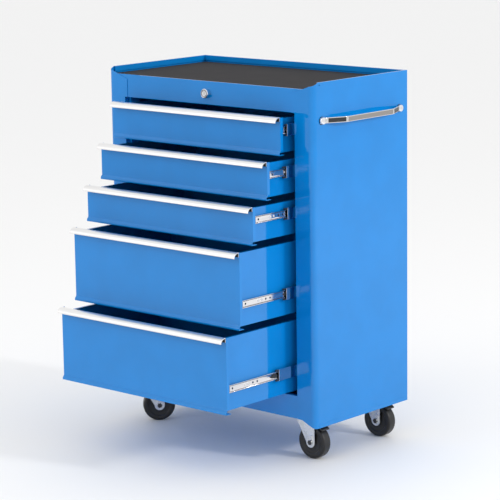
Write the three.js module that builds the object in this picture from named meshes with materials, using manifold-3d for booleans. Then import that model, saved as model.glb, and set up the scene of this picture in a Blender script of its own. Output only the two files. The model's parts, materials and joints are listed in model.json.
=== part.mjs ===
// Rolling tool chest: a folded sheet-steel cabinet on four swivel casters, with five drawers on
// three-part ball-bearing slides. The drawers stand part open, each further out than the one above.
// Millimetres. +X is the chest's right-hand side, -Y its front, +Z up, and z = 0 is the floor.

import * as THREE from 'three';
import { mergeVertices } from 'three/addons/utils/BufferGeometryUtils.js';
import Module from 'manifold-3d';

const wasm = await Module();
wasm.setup();

// ---------------------------------------------------------------------------------------------
// Driving dimensions
// ---------------------------------------------------------------------------------------------

const GAP = 0.3;
const SHEET = 1.0;

const CABINET = { halfWidth: 310, depth: 330, bottom: 83, top: 848, cornerRadius: 13 };
const OPENING = { halfWidth: 258, bottom: 150.5, top: 781 };
const FLANGE = { returnDepth: 12, rear: 22, tabHalfWidth: 250, skirtHalfWidth: 271 };
const RIM = { thickness: 4, drop: 12, cutStart: 18, cutSlope: 0.345 };
const DECK = { lip: 833.5, step: 4, hem: 3, halfWidth: 308.5, frontHalfWidth: 295 };
const PAN = { underside: 98.5 };
const MAT = { halfWidth: 303, front: 6, back: 323, thickness: 1.7 };
const LOCK = { height: 806.5, flangeRadius: 10.5, bodyRadius: 9, boreRadius: 5.9, reach: 10 };

const FRONT = { halfWidth: 253, drop: 1, sideReturn: 8, lipReach: 4.5, lipRise: 10, hem: 12 };
const RAIL = { halfWidth: 252, reach: 16, height: 11.5, wall: 1.6, leg: 10, crown: 2 };
const BOX = { halfWidth: 237, length: 300, topDrop: 6, bottomRise: 3, lip: 6, sheet: 0.9 };
const SLIDE_HEIGHT = 52.7;
const INNER = { front: 15, length: 275, height: 16.5, web: 6.4, reach: 9, holeRadius: 2.4 };
const MIDDLE = { length: 235, height: 26, web: 11, start: 4.5, wall: 1.0 };
const OUTER = { height: 36, web: 13.2, start: 7, wall: 1.2 };
const UPRIGHT = { width: 30, outer: 258.5, rearStart: 270 };

const DRAWER_GAP = 8;
const TOP_CLEARANCE = 5.5;
const DRAWERS = [
  { name: 'drawer_1', height: 83.5, extension: 40.8, middleFront: -14 },
  { name: 'drawer_2', height: 83.5, extension: 85.5, middleFront: -18 },
  { name: 'drawer_3', height: 83.5, extension: 133.2, middleFront: -15 },
  { name: 'drawer_4', height: 169.5, extension: 178.5, middleFront: -22 },
  { name: 'drawer_5', height: 169.5, extension: 224.3, middleFront: -50 },
];

const HANDLE = { height: 765, tall: 12.5, thickness: 4, standOff: 28, footY: 30, gripY: 85, bossRadius: 8 };

const CASTER = { x: 246, frontY: 51, rearY: 285, trail: 18, wheelRadius: 38, wheelWidth: 24, eye: 12 };
const CASTERS = [
  { name: 'front_right', side: 1, y: CASTER.frontY, turn: 0, brake: true },
  { name: 'rear_right', side: 1, y: CASTER.rearY, turn: 0, brake: true },
  { name: 'front_left', side: -1, y: CASTER.frontY, turn: 50, brake: false },
  { name: 'rear_left', side: -1, y: CASTER.rearY, turn: 140, brake: false },
];

// ---------------------------------------------------------------------------------------------
// Materials
// ---------------------------------------------------------------------------------------------

const material = (color, roughness, metalness) =>
  new THREE.MeshStandardMaterial({ color, roughness, metalness });

const POWDER_BLUE = material(0x2f86d6, 0.28, 0.0);
const SATIN_RAIL = material(0xe2e2e4, 0.3, 0.85);
const ZINC = material(0xc3c6cb, 0.32, 0.9);
const CHROME = material(0xd8dade, 0.12, 1.0);
const MAT_RUBBER = material(0x3f3d3c, 0.85, 0.0);
const WHEEL_BLACK = material(0x1b1b1d, 0.45, 0.0);

// ---------------------------------------------------------------------------------------------
// Geometry helpers
// ---------------------------------------------------------------------------------------------

const AXIS_SWAP = new THREE.Matrix4().makeBasis(
  new THREE.Vector3(0, 1, 0),
  new THREE.Vector3(0, 0, 1),
  new THREE.Vector3(1, 0, 0),
);

const shapeOf = (points) => new THREE.Shape(points.map(([a, b]) => new THREE.Vector2(a, b)));

const extrude = (shape, depth, curveSegments = 8) =>
  new THREE.ExtrudeGeometry(shape, { depth, bevelEnabled: false, steps: 1, curveSegments });

// Extrudes a shape drawn in (y, z) along X.
function extrudeX(shape, x0, x1) {
  return extrude(shape, x1 - x0).applyMatrix4(AXIS_SWAP).translate(x0, 0, 0);
}

// Extrudes a shape drawn in (x, z) along Y.
function extrudeY(shape, y0, y1) {
  return extrude(shape, y1 - y0).rotateX(Math.PI / 2).translate(0, y1, 0);
}

// Extrudes a shape drawn in (x, y) along Z.
function extrudeZ(shape, z0, z1) {
  return extrude(shape, z1 - z0).translate(0, 0, z0);
}

function block([x0, x1], [y0, y1], [z0, z1]) {
  const geometry = new THREE.BoxGeometry(x1 - x0, y1 - y0, z1 - z0);
  return geometry.translate((x0 + x1) / 2, (y0 + y1) / 2, (z0 + z1) / 2);
}

// A rod along the named axis, from one end to the other, centred on (a, b) in the other two axes.
function rod(axis, radius, from, to, [a, b], segments = 16) {
  const geometry = new THREE.CylinderGeometry(radius, radius, to - from, segments);
  const middle = (from + to) / 2;
  if (axis === 'x') {
    return geometry.rotateZ(Math.PI / 2).translate(middle, a, b);
  }
  if (axis === 'y') {
    return geometry.translate(a, middle, b);
  }
  return geometry.rotateX(Math.PI / 2).translate(a, b, middle);
}

function toSolid(geometry) {
  const bare = geometry.clone();
  bare.deleteAttribute('normal');
  bare.deleteAttribute('uv');
  const merged = mergeVertices(bare, 1e-4);
  return new wasm.Manifold(new wasm.Mesh({
    numProp: 3,
    vertProperties: new Float32Array(merged.attributes.position.array),
    triVerts: new Uint32Array(merged.index.array),
  }));
}

function toGeometry(solid) {
  const { vertProperties, triVerts } = solid.getMesh();
  const geometry = new THREE.BufferGeometry();
  geometry.setAttribute('position', new THREE.BufferAttribute(vertProperties, 3));
  geometry.setIndex(new THREE.BufferAttribute(triVerts, 1));
  geometry.computeVertexNormals();
  return geometry;
}

// Joins the first list of geometries into one body, then cuts the second list from it.
function build(joined, cut = []) {
  let solid = toSolid(joined[0]);
  for (const geometry of joined.slice(1)) {
    solid = solid.add(toSolid(geometry));
  }
  for (const geometry of cut) {
    solid = solid.subtract(toSolid(geometry));
  }
  return toGeometry(solid);
}

// Mirrors a geometry across the chest's middle plane, and turns its faces back outwards.
function mirrored(geometry) {
  const copy = geometry.clone().scale(-1, 1, 1);
  const index = copy.index.array;
  for (let i = 0; i < index.length; i += 3) {
    [index[i], index[i + 1]] = [index[i + 1], index[i]];
  }
  copy.computeVertexNormals();
  return copy;
}

// The outline of a folded sheet: its path on one face, and the same path set off to the left.
function sheetOutline(path, thickness) {
  const points = path.map(([a, b]) => new THREE.Vector2(a, b));
  const normalOf = (from, to) => {
    const along = to.clone().sub(from).normalize();
    return new THREE.Vector2(-along.y, along.x);
  };
  const offset = points.map((point, i) => {
    const before = normalOf(points[Math.max(i - 1, 0)], points[Math.max(i, 1)]);
    const last = points.length - 1;
    const after = normalOf(points[Math.min(i, last - 1)], points[Math.min(i + 1, last)]);
    const mitre = before.clone().add(after);
    return point.clone().addScaledVector(mitre, thickness / (1 + before.dot(after)));
  });
  return new THREE.Shape([...points, ...offset.reverse()]);
}

// Points on a quarter of an ellipse from one angle to another, in degrees.
function arcPoints([a, b], [ra, rb], fromDegrees, toDegrees, steps) {
  return Array.from({ length: steps + 1 }, (_, i) => {
    const angle = THREE.MathUtils.degToRad(fromDegrees + ((toDegrees - fromDegrees) * i) / steps);
    return [a + ra * Math.cos(angle), b + rb * Math.sin(angle)];
  });
}

function mesh(name, geometry, finish) {
  const piece = new THREE.Mesh(geometry, finish);
  piece.name = name;
  return piece;
}

// ---------------------------------------------------------------------------------------------
// Cabinet
// ---------------------------------------------------------------------------------------------

// The right side panel: side, rounded front corner, front flange with its return, and rear flange,
// folded from one sheet. The front flange is cut away at a slant above the deck and below the pan.
function sidePanelGeometry() {
  const { halfWidth, depth, bottom, top, cornerRadius } = CABINET;
  const bend = arcPoints([halfWidth - cornerRadius, cornerRadius], [cornerRadius, cornerRadius], -90, 0, 8);
  const path = [
    [OPENING.halfWidth, FLANGE.returnDepth],
    [OPENING.halfWidth, 0],
    ...bend,
    [halfWidth, depth],
    [halfWidth - FLANGE.rear, depth],
  ];
  const sheet = extrudeZ(sheetOutline(path, SHEET), bottom, top);
  const tab = block([FLANGE.tabHalfWidth, OPENING.halfWidth + 0.5], [0, SHEET], [OPENING.top, top]);
  const rim = [[RIM.cutStart, top - RIM.drop], [depth - RIM.thickness, top - RIM.drop],
    [depth - RIM.thickness, top], [RIM.cutStart, top]];
  const hemLeg = extrudeX(shapeOf(rim), halfWidth - RIM.thickness, halfWidth - RIM.thickness + SHEET);
  const hemTop = block(
    [halfWidth - RIM.thickness, halfWidth - SHEET / 2],
    [RIM.cutStart, depth - RIM.thickness],
    [top - SHEET, top],
  );
  const footHem = block([297, halfWidth - SHEET / 2], [15, depth - 2], [bottom, bottom + SHEET]);

  const bendStart = halfWidth - cornerRadius;
  const bendLength = RIM.cutStart - cornerRadius + (cornerRadius * Math.PI) / 2;
  const cornerDrop = RIM.cutSlope * bendLength;
  const tabDrop = cornerDrop + RIM.cutSlope * (bendStart - FLANGE.tabHalfWidth);
  const above = top + 5;
  const cornerCut = extrudeX(
    shapeOf([[-1, top - cornerDrop], [RIM.cutStart, top], [RIM.cutStart, above], [-1, above]]),
    bendStart,
    halfWidth + 1,
  );
  const flangeCut = extrudeY(
    shapeOf([[FLANGE.tabHalfWidth - 1, top - tabDrop], [bendStart + 0.01, top - cornerDrop],
      [bendStart + 0.01, above], [FLANGE.tabHalfWidth - 1, above]]),
    -1,
    FLANGE.returnDepth + 1,
  );
  const skirtCut = extrudeY(
    shapeOf([[FLANGE.tabHalfWidth - 1, bottom - 1], [halfWidth - 4, bottom - 1],
      [halfWidth - 4, bottom], [FLANGE.skirtHalfWidth, PAN.underside], [FLANGE.tabHalfWidth - 1, PAN.underside]]),
    -1,
    FLANGE.returnDepth + 1,
  );
  const returnCuts = [[bottom - 1, OPENING.bottom + GAP], [OPENING.top - GAP, above]].map((heights) =>
    block([OPENING.halfWidth - 1, OPENING.halfWidth + SHEET], [SHEET, FLANGE.returnDepth + 1], heights));
  const rimHole = rod('x', 1.6, halfWidth - 2, halfWidth + 1, [22, top - 6], 10);
  return build([sheet, tab, hemLeg, hemTop, footHem], [cornerCut, flangeCut, skirtCut, rimHole, ...returnCuts]);
}

function backPanelGeometry() {
  const back = CABINET.depth - SHEET - GAP;
  const top = CABINET.top;
  const rimPath = [
    [back, PAN.underside + SHEET + GAP],
    [back, top],
    [back - RIM.thickness, top],
    [back - RIM.thickness, top - RIM.drop],
  ];
  const half = DECK.halfWidth - RIM.thickness;
  const folded = extrudeX(sheetOutline(rimPath, SHEET), -half, half);
  const wings = [-1, 1].map((side) => {
    const ends = [side * (half - 1), side * DECK.halfWidth].sort((a, b) => a - b);
    return block(ends, [back - SHEET, back], [PAN.underside + SHEET + GAP, top]);
  });
  return build([folded, ...wings]);
}

// Cuts the two front corners off a full-width tray so that it clears the side panels' bends.
function cornerCuts(z0, z1) {
  const reach = DECK.halfWidth - DECK.frontHalfWidth;
  const x = DECK.frontHalfWidth;
  return [-1, 1].map((side) => {
    const outline = [[side * x, -1], [side * (x + reach + 3), -1], [side * (x + reach + 3), reach + 4.3], [side * x, 1.3]];
    return extrudeZ(shapeOf(outline), z0, z1);
  });
}

// Deck and header in one fold: return, header face, hemmed front lip, and the recessed deck.
function topDeckGeometry() {
  const face = SHEET + GAP;
  const deckTop = DECK.lip - DECK.step + SHEET;
  const path = [
    [FLANGE.returnDepth, OPENING.top],
    [face, OPENING.top],
    [face, DECK.lip],
    [face + DECK.hem, DECK.lip],
    [face + DECK.hem, deckTop],
    [CABINET.depth - 2 * SHEET - 2 * GAP - RIM.thickness - 0.4, deckTop],
  ];
  const outline = sheetOutline(path.reverse(), SHEET);
  const sheet = extrudeX(outline, -DECK.halfWidth + RIM.thickness, DECK.halfWidth - RIM.thickness);
  const lockHole = rod('y', LOCK.bodyRadius + GAP, -5, 20, [0, LOCK.height], 24);
  return build([sheet], [...cornerCuts(OPENING.top - 5, DECK.lip + 5), lockHole]);
}

function topMatGeometry() {
  const base = DECK.lip - DECK.step + SHEET + GAP;
  const outline = new THREE.Shape();
  const [x, y0, y1, r] = [MAT.halfWidth, MAT.front, MAT.back, 10];
  outline.moveTo(-x + r, y0);
  outline.lineTo(x - r, y0);
  outline.lineTo(x, y0 + r);
  outline.lineTo(x, y1);
  outline.lineTo(-x, y1);
  outline.lineTo(-x, y0 + r);
  return extrudeZ(outline, base, base + MAT.thickness);
}

// Bottom pan and toe rail in one fold.
function bottomPanGeometry() {
  const face = SHEET + GAP;
  const rear = CABINET.depth - 2 * SHEET - 2 * GAP;
  const path = [
    [FLANGE.returnDepth, OPENING.bottom],
    [face, OPENING.bottom],
    [face, PAN.underside],
    [rear, PAN.underside],
  ];
  const sheet = extrudeX(sheetOutline(path, SHEET), -DECK.halfWidth, DECK.halfWidth);
  return build([sheet], cornerCuts(PAN.underside - 5, OPENING.bottom + 5));
}

// The uprights and the outer slide channels of one side, welded into one frame.
function slideFrameGeometry(slideHeights) {
  const web = BOX.halfWidth + OUTER.web;
  const backX = web + OUTER.wall;
  const front = FLANGE.returnDepth + GAP;
  const z0 = PAN.underside + SHEET + GAP;
  const z1 = DECK.lip - DECK.step - GAP;
  const uprights = [front, UPRIGHT.rearStart].map((y) => {
    const path = [
      [UPRIGHT.outer, y],
      [backX - 0.2, y],
      [backX - 0.2, y + UPRIGHT.width],
      [UPRIGHT.outer, y + UPRIGHT.width],
    ];
    return extrudeZ(sheetOutline(path.reverse(), OUTER.wall), z0, z1);
  });
  const channels = slideHeights.map((z) => {
    const half = OUTER.height / 2;
    const path = [
      [BOX.halfWidth + OUTER.start, z - half],
      [backX, z - half],
      [backX, z + half],
      [BOX.halfWidth + OUTER.start, z + half],
    ];
    return extrudeY(sheetOutline(path, OUTER.wall), front, UPRIGHT.rearStart + UPRIGHT.width);
  });
  return build([...uprights, ...channels]);
}

// ---------------------------------------------------------------------------------------------
// Lock and side handle
// ---------------------------------------------------------------------------------------------

// Turns a profile given as (radius, y) about the Y axis.
function turned(profile, segments) {
  return new THREE.LatheGeometry(profile.map(([r, y]) => new THREE.Vector2(r, y)), segments);
}

function lockBarrelGeometry() {
  const face = SHEET + GAP;
  const front = face - LOCK.reach;
  const { flangeRadius, bodyRadius, boreRadius } = LOCK;
  return turned([
    [boreRadius, front + 1],
    [boreRadius + 1, front + 1],
    [boreRadius + 1, front + 3],
    [bodyRadius, front + 3],
    [bodyRadius, front],
    [flangeRadius, front + 1.2],
    [flangeRadius, face - GAP],
    [bodyRadius, face - GAP],
    [bodyRadius, 20],
    [boreRadius, 20],
    [boreRadius, front + 1],
  ], 20).translate(0, 0, LOCK.height);
}

// The plug with its key slot, its square tail, and the cam that turns with it.
function lockPlugGeometry() {
  const front = SHEET + GAP - LOCK.reach + 0.6;
  const radius = LOCK.boreRadius - GAP;
  const z = LOCK.height;
  const plug = rod('y', radius, front, 21, [0, z], 24);
  const tail = block([-2.5, 2.5], [20.5, 27], [z - 2.5, z + 2.5]);
  const cam = block([-6, 28], [23, 25.5], [z - 6, z + 6]);
  const slot = block([-0.7, 0.7], [front - 1, front + 6], [z - 3.4, z + 3.4]);
  return build([plug, tail, cam], [slot]);
}

// A flat strap bent out at both ends, with a round boss at each foot.
function sideHandleGeometry() {
  const { height, tall, thickness, standOff, footY, gripY, bossRadius } = HANDLE;
  const wall = CABINET.halfWidth + GAP;
  const middle = CABINET.depth / 2;
  const half = [
    [wall, footY - bossRadius],
    [wall + 1.5, footY + bossRadius],
    [wall + standOff - thickness, gripY + 2],
  ];
  const path = [...half, ...half.map(([x, y]) => [x, 2 * middle - y]).reverse()];
  const strap = extrudeZ(sheetOutline(path.reverse(), thickness), height - tall / 2, height + tall / 2);
  const bosses = [footY, 2 * middle - footY].map((y) =>
    rod('x', bossRadius, wall, wall + 6.5, [y, height], 20));
  return build([strap, ...bosses]);
}

// ---------------------------------------------------------------------------------------------
// Drawers: y is measured from the front panel's face, z from the bottom of its lip
// ---------------------------------------------------------------------------------------------

function drawerFrontGeometry(height) {
  const { halfWidth, drop, sideReturn, lipReach, lipRise, hem } = FRONT;
  const path = [
    [hem, 0],
    [-lipReach, 0],
    [-lipReach, lipRise - 5],
    [0, lipRise],
    [0, height - drop],
  ];
  const panel = extrudeX(sheetOutline(path.reverse(), SHEET), -halfWidth, halfWidth);
  const returns = [-1, 1].map((side) => {
    const ends = [side * (halfWidth - SHEET), side * halfWidth].sort((a, b) => a - b);
    return block(ends, [SHEET / 2, sideReturn], [lipRise, height - drop]);
  });
  return build([panel, ...returns]);
}

// The pull rail: a leg against the panel and a quarter-round lip that leaves a finger gap below.
function drawerRailGeometry(height) {
  const { halfWidth, reach, height: face, wall, leg, crown } = RAIL;
  const outer = arcPoints([-crown, -face], [reach - crown, face], 90, 180, 7);
  const inner = arcPoints([-crown, -face], [reach - crown - wall, face - wall], 180, 90, 7);
  const outline = [
    [-GAP, -leg],
    [-GAP, 0],
    ...outer,
    ...inner,
    [-GAP - wall, -wall],
    [-GAP - wall, -leg],
  ];
  return extrudeX(shapeOf(outline), -halfWidth, halfWidth).translate(0, 0, height);
}

// The drawer body: an open tray whose side and rear walls end in a small inward lip.
function drawerBoxGeometry(height) {
  const { halfWidth, length, topDrop, bottomRise, lip, sheet } = BOX;
  const front = SHEET + GAP;
  const top = height - topDrop;
  const tray = block([-halfWidth, halfWidth], [front, length], [bottomRise, top]);
  const hollow = block(
    [-halfWidth + sheet, halfWidth - sheet],
    [front + sheet, length - sheet],
    [bottomRise + sheet, top - sheet],
  );
  const mouth = block(
    [-halfWidth + lip, halfWidth - lip],
    [front + sheet, length - lip],
    [top - 2 * sheet, top + 1],
  );
  return build([tray], [hollow, mouth]);
}

// The slide member on the drawer's side: an H section with fixing holes in its web.
function innerMemberGeometry() {
  const { front, length, height, web, reach, holeRadius } = INNER;
  const near = BOX.halfWidth + GAP;
  const far = BOX.halfWidth + reach;
  const half = height / 2;
  const [w0, w1] = [BOX.halfWidth + web, BOX.halfWidth + web + SHEET];
  const outline = shapeOf([
    [near, -half], [far, -half], [far, -half + SHEET], [w1, -half + SHEET],
    [w1, half - SHEET], [far, half - SHEET], [far, half], [near, half],
    [near, half - SHEET], [w0, half - SHEET], [w0, -half + SHEET], [near, -half + SHEET],
  ]);
  const bar = extrudeY(outline, front, front + length);
  const holes = [12, 78, 92].map((along) =>
    rod('x', holeRadius, w0 - 1, w1 + 1, [front + along, 0], 8));
  return build([bar], holes).translate(0, 0, SLIDE_HEIGHT);
}

// The middle slide member: a channel that opens towards the drawer.
function middleMemberGeometry() {
  const { length, height, web, start, wall } = MIDDLE;
  const half = height / 2;
  const path = [
    [BOX.halfWidth + start, -half],
    [BOX.halfWidth + web + wall, -half],
    [BOX.halfWidth + web + wall, half],
    [BOX.halfWidth + start, half],
  ];
  return build([extrudeY(sheetOutline(path, wall), 0, length)]);
}

function makeDrawer({ name, height, extension, middleFront }, lipBottom) {
  const drawer = new THREE.Group();
  drawer.position.set(0, -extension, lipBottom);
  const inner = innerMemberGeometry();
  drawer.add(
    mesh(`${name}_front`, drawerFrontGeometry(height), POWDER_BLUE),
    mesh(`${name}_rail`, drawerRailGeometry(height), SATIN_RAIL),
    mesh(`${name}_box`, drawerBoxGeometry(height), POWDER_BLUE),
    mesh(`${name}_slide_inner_right`, inner, ZINC),
    mesh(`${name}_slide_inner_left`, mirrored(inner), ZINC),
  );
  const slides = new THREE.Group();
  slides.position.set(0, middleFront, lipBottom + SLIDE_HEIGHT);
  const middle = middleMemberGeometry();
  slides.add(
    mesh(`${name}_slide_middle_right`, middle, ZINC),
    mesh(`${name}_slide_middle_left`, mirrored(middle), ZINC),
  );
  return [drawer, slides];
}

// ---------------------------------------------------------------------------------------------
// Casters: the origin is on the swivel axis at the pan's underside, and the wheel trails along +X
// ---------------------------------------------------------------------------------------------

const AXLE_Z = CASTER.wheelRadius - PAN.underside;

function casterPlateGeometry() {
  const plate = block([-32, 32], [-26, 26], [-2.8, -GAP]);
  const race = rod('z', 19, -6.8, -2.5, [0, 0], 20);
  return build([plate, race]);
}

// Crown, swivel race, two legs and the riveted axle.
function casterForkGeometry(withBrake) {
  const inside = CASTER.wheelWidth / 2 + 1.5;
  const outside = inside + 1.8;
  const front = CASTER.trail + CASTER.eye;
  const crown = block([-20, front], [-outside, outside], [-12, -9.5]);
  const race = rod('z', 20, -9.8, -7.1, [0, 0], 20);
  const leg = new THREE.Shape();
  leg.moveTo(-20, -9.5);
  leg.lineTo(-17, -20);
  leg.lineTo(CASTER.trail - CASTER.eye, AXLE_Z);
  leg.absarc(CASTER.trail, AXLE_Z, CASTER.eye, Math.PI, 2 * Math.PI, false);
  leg.lineTo(front, -9.5);
  const legs = [-outside, inside].map((y) => extrudeY(leg, y, y + 1.8));
  const axle = rod('y', 4, -outside - 0.5, outside + 0.5, [CASTER.trail, AXLE_Z], 12);
  const heads = [-outside - 3, outside - 0.2].map((y) => rod('y', 6, y, y + 3.2, [CASTER.trail, AXLE_Z], 12));
  const pin = rod('y', 1.5, -inside - 0.5, inside + 0.5, [14, -17], 8);
  return build([crown, race, ...legs, axle, ...heads, ...(withBrake ? [pin] : [])]);
}

function casterWheelGeometry() {
  const half = CASTER.wheelWidth / 2;
  const radius = CASTER.wheelRadius;
  const side = [[4.4, half + 0.6], [10, half + 0.6], [11, half - 2], [23, half - 2], [24, half]];
  const tread = arcPoints([radius - 4, half - 4], [4, 4], 90, 0, 2);
  const rightHalf = [...side, ...tread];
  const leftHalf = rightHalf.map(([r, y]) => [r, -y]).reverse();
  const profile = [...rightHalf, ...leftHalf, rightHalf[0]].reverse();
  return turned(profile, 24).translate(CASTER.trail, 0, AXLE_Z);
}

// The brake pedal, on a pin between the fork's legs, sloping down over the wheel.
function brakePedalGeometry() {
  const outline = shapeOf([[9, -19], [9, -14], [14, -13], [40, -20], [50, -27], [51, -30], [48, -30],
    [38, -24.2], [29, -21.8], [17, -20.5], [12, -21]]);
  const half = CASTER.wheelWidth / 2;
  const bore = rod('y', 1.9, -half - 1, half + 1, [14, -17], 10);
  return build([extrudeY(outline, -half, half)], [bore]);
}

function makeCaster({ name, side, y, turn, brake }) {
  const caster = new THREE.Group();
  caster.position.set(side * CASTER.x, y, PAN.underside);
  caster.add(mesh(`caster_${name}_plate`, casterPlateGeometry(), ZINC));
  const swivel = new THREE.Group();
  swivel.rotation.z = THREE.MathUtils.degToRad(turn);
  swivel.add(
    mesh(`caster_${name}_fork`, casterForkGeometry(brake), ZINC),
    mesh(`caster_${name}_wheel`, casterWheelGeometry(), WHEEL_BLACK),
  );
  if (brake) {
    swivel.add(mesh(`caster_${name}_brake_pedal`, brakePedalGeometry(), WHEEL_BLACK));
  }
  caster.add(swivel);
  return caster;
}

// ---------------------------------------------------------------------------------------------
// Assembly
// ---------------------------------------------------------------------------------------------

// The height of each drawer's lip bottom, from the top drawer down.
function lipBottoms() {
  let top = OPENING.top - TOP_CLEARANCE;
  return DRAWERS.map(({ height }) => {
    const bottom = top - height;
    top = bottom - DRAWER_GAP;
    return bottom;
  });
}

function makeCabinet(bottoms) {
  const side = sidePanelGeometry();
  const frame = slideFrameGeometry(bottoms.map((z) => z + SLIDE_HEIGHT));
  return [
    mesh('side_panel_right', side, POWDER_BLUE),
    mesh('side_panel_left', mirrored(side), POWDER_BLUE),
    mesh('back_panel', backPanelGeometry(), POWDER_BLUE),
    mesh('top_deck', topDeckGeometry(), POWDER_BLUE),
    mesh('top_mat', topMatGeometry(), MAT_RUBBER),
    mesh('bottom_pan', bottomPanGeometry(), POWDER_BLUE),
    mesh('slide_frame_right', frame, POWDER_BLUE),
    mesh('slide_frame_left', mirrored(frame), POWDER_BLUE),
    mesh('lock_barrel', lockBarrelGeometry(), CHROME),
    mesh('lock_plug', lockPlugGeometry(), CHROME),
    mesh('side_handle', sideHandleGeometry(), CHROME),
  ];
}

const chest = new THREE.Group();
const bottoms = lipBottoms();
chest.add(...makeCabinet(bottoms));
DRAWERS.forEach((drawer, i) => chest.add(...makeDrawer(drawer, bottoms[i])));
CASTERS.forEach((caster) => chest.add(makeCaster(caster)));

// The part's origin is on the floor, under the middle of the whole chest as it stands, from the
// left side panel to the side handle and from the lowest drawer's rail to the back.
const reachRight = HANDLE.standOff + GAP;
const reachFront = DRAWERS.at(-1).extension + RAIL.reach;
chest.position.set(-reachRight / 2, (reachFront - CABINET.depth) / 2, 0);

export default chest;
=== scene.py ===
"""The looks of a rolling tool chest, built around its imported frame.

Every piece is in metres in the frame's own axes: +X is the chest's right, -Y its front, +Z up.
"""

import json
import logging
import math
from dataclasses import dataclass, field
from enum import Enum
from typing import Iterable, Sequence

import bmesh
import bpy
from mathutils import Matrix, Vector


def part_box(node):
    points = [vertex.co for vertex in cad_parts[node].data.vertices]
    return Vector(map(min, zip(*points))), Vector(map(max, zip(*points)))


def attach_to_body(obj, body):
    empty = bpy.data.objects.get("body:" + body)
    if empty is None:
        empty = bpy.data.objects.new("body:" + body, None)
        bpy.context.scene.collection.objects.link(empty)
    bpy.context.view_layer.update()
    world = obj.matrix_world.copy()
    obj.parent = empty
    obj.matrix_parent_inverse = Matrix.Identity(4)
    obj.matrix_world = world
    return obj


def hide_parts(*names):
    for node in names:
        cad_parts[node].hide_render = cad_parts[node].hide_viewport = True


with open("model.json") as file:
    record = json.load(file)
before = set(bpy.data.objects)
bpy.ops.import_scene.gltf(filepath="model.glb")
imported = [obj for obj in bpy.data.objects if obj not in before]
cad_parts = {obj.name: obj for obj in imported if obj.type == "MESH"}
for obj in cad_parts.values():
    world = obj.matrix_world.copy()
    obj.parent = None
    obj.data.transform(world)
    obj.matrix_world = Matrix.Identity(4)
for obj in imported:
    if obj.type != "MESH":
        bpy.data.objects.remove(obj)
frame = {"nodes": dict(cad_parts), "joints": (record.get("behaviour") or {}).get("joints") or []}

log = logging.getLogger("tool_chest")

MM = 0.001
RGB = tuple[float, float, float]
Point2 = tuple[float, float]
SMOOTH_ANGLE = math.radians(32.0)

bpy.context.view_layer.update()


# ------------------------------------------------------------------------------------------------
# Choices
# ------------------------------------------------------------------------------------------------


class Axis(Enum):
    """The frame axis that a section is swept along, with the two axes that it is drawn in."""

    X = (1, 2, 0)
    Y = (0, 2, 1)
    Z = (0, 1, 2)

    def place(self, a: float, b: float, along: float) -> Vector:
        """Turns section coordinates and a place along the axis into a frame point."""
        point = Vector((0.0, 0.0, 0.0))
        point[self.value[0]], point[self.value[1]], point[self.value[2]] = a, b, along
        return point


class Slot(Enum):
    """The record's material slots."""

    BLUE = "blue_powder_coat"
    RAIL = "rail_satin"
    ZINC = "zinc_steel"
    LOCK = "lock_chrome"
    HANDLE = "handle_chrome"
    MAT = "mat_rubber"
    WHEEL = "wheel_black"
    PEDAL = "pedal_plastic"


# ------------------------------------------------------------------------------------------------
# Shader groups
# ------------------------------------------------------------------------------------------------


@dataclass
class Wiring:
    """A node tree with short calls to add a node and to join two sockets."""

    tree: bpy.types.NodeTree

    def node(self, kind: str, **settings: object) -> bpy.types.Node:
        """Adds a node of that type.

        Args:
            kind: The node's type name.
            **settings: Attributes to set on the node.

        Returns:
            The new node.
        """
        made = self.tree.nodes.new(kind)
        for key, value in settings.items():
            setattr(made, key, value)
        return made

    def join(self, source: bpy.types.NodeSocket, target: bpy.types.NodeSocket) -> None:
        """Links an output to an input."""
        self.tree.links.new(source, target)

    def feed(self, target: bpy.types.NodeSocket, value: object) -> None:
        """Links a socket into target, or sets target to a plain value."""
        if isinstance(value, bpy.types.NodeSocket):
            self.join(value, target)
        else:
            target.default_value = value

    def math(self, operation: str, first: object, second: object = 0.0) -> bpy.types.NodeSocket:
        """Adds a Math node.

        Args:
            operation: The node's operation.
            first: A socket or a number.
            second: A socket or a number.

        Returns:
            The node's output.
        """
        made = self.node("ShaderNodeMath", operation=operation)
        self.feed(made.inputs[0], first)
        self.feed(made.inputs[1], second)
        return made.outputs[0]

    def remap(
        self, value: object, low: float, high: float, to_low: float, to_high: float
    ) -> bpy.types.NodeSocket:
        """Adds a Map Range node that clamps, and returns its output."""
        made = self.node("ShaderNodeMapRange", clamp=True)
        for socket, given in zip(made.inputs, (value, low, high, to_low, to_high)):
            self.feed(socket, given)
        return made.outputs[0]

    def mix(self, factor: object, first: object, second: object) -> bpy.types.NodeSocket:
        """Adds a colour Mix node and returns its output."""
        made = self.node("ShaderNodeMix", data_type="RGBA")
        self.feed(made.inputs[0], factor)
        self.feed(made.inputs[6], first)
        self.feed(made.inputs[7], second)
        return made.outputs[2]

    def noise(self, vector: object, scale: object, detail: float = 2.0) -> bpy.types.NodeSocket:
        """Adds a Noise Texture node and returns its value."""
        made = self.node("ShaderNodeTexNoise")
        self.feed(made.inputs["Vector"], vector)
        self.feed(made.inputs["Scale"], scale)
        made.inputs["Detail"].default_value = detail
        return made.outputs["Fac"]


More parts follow.
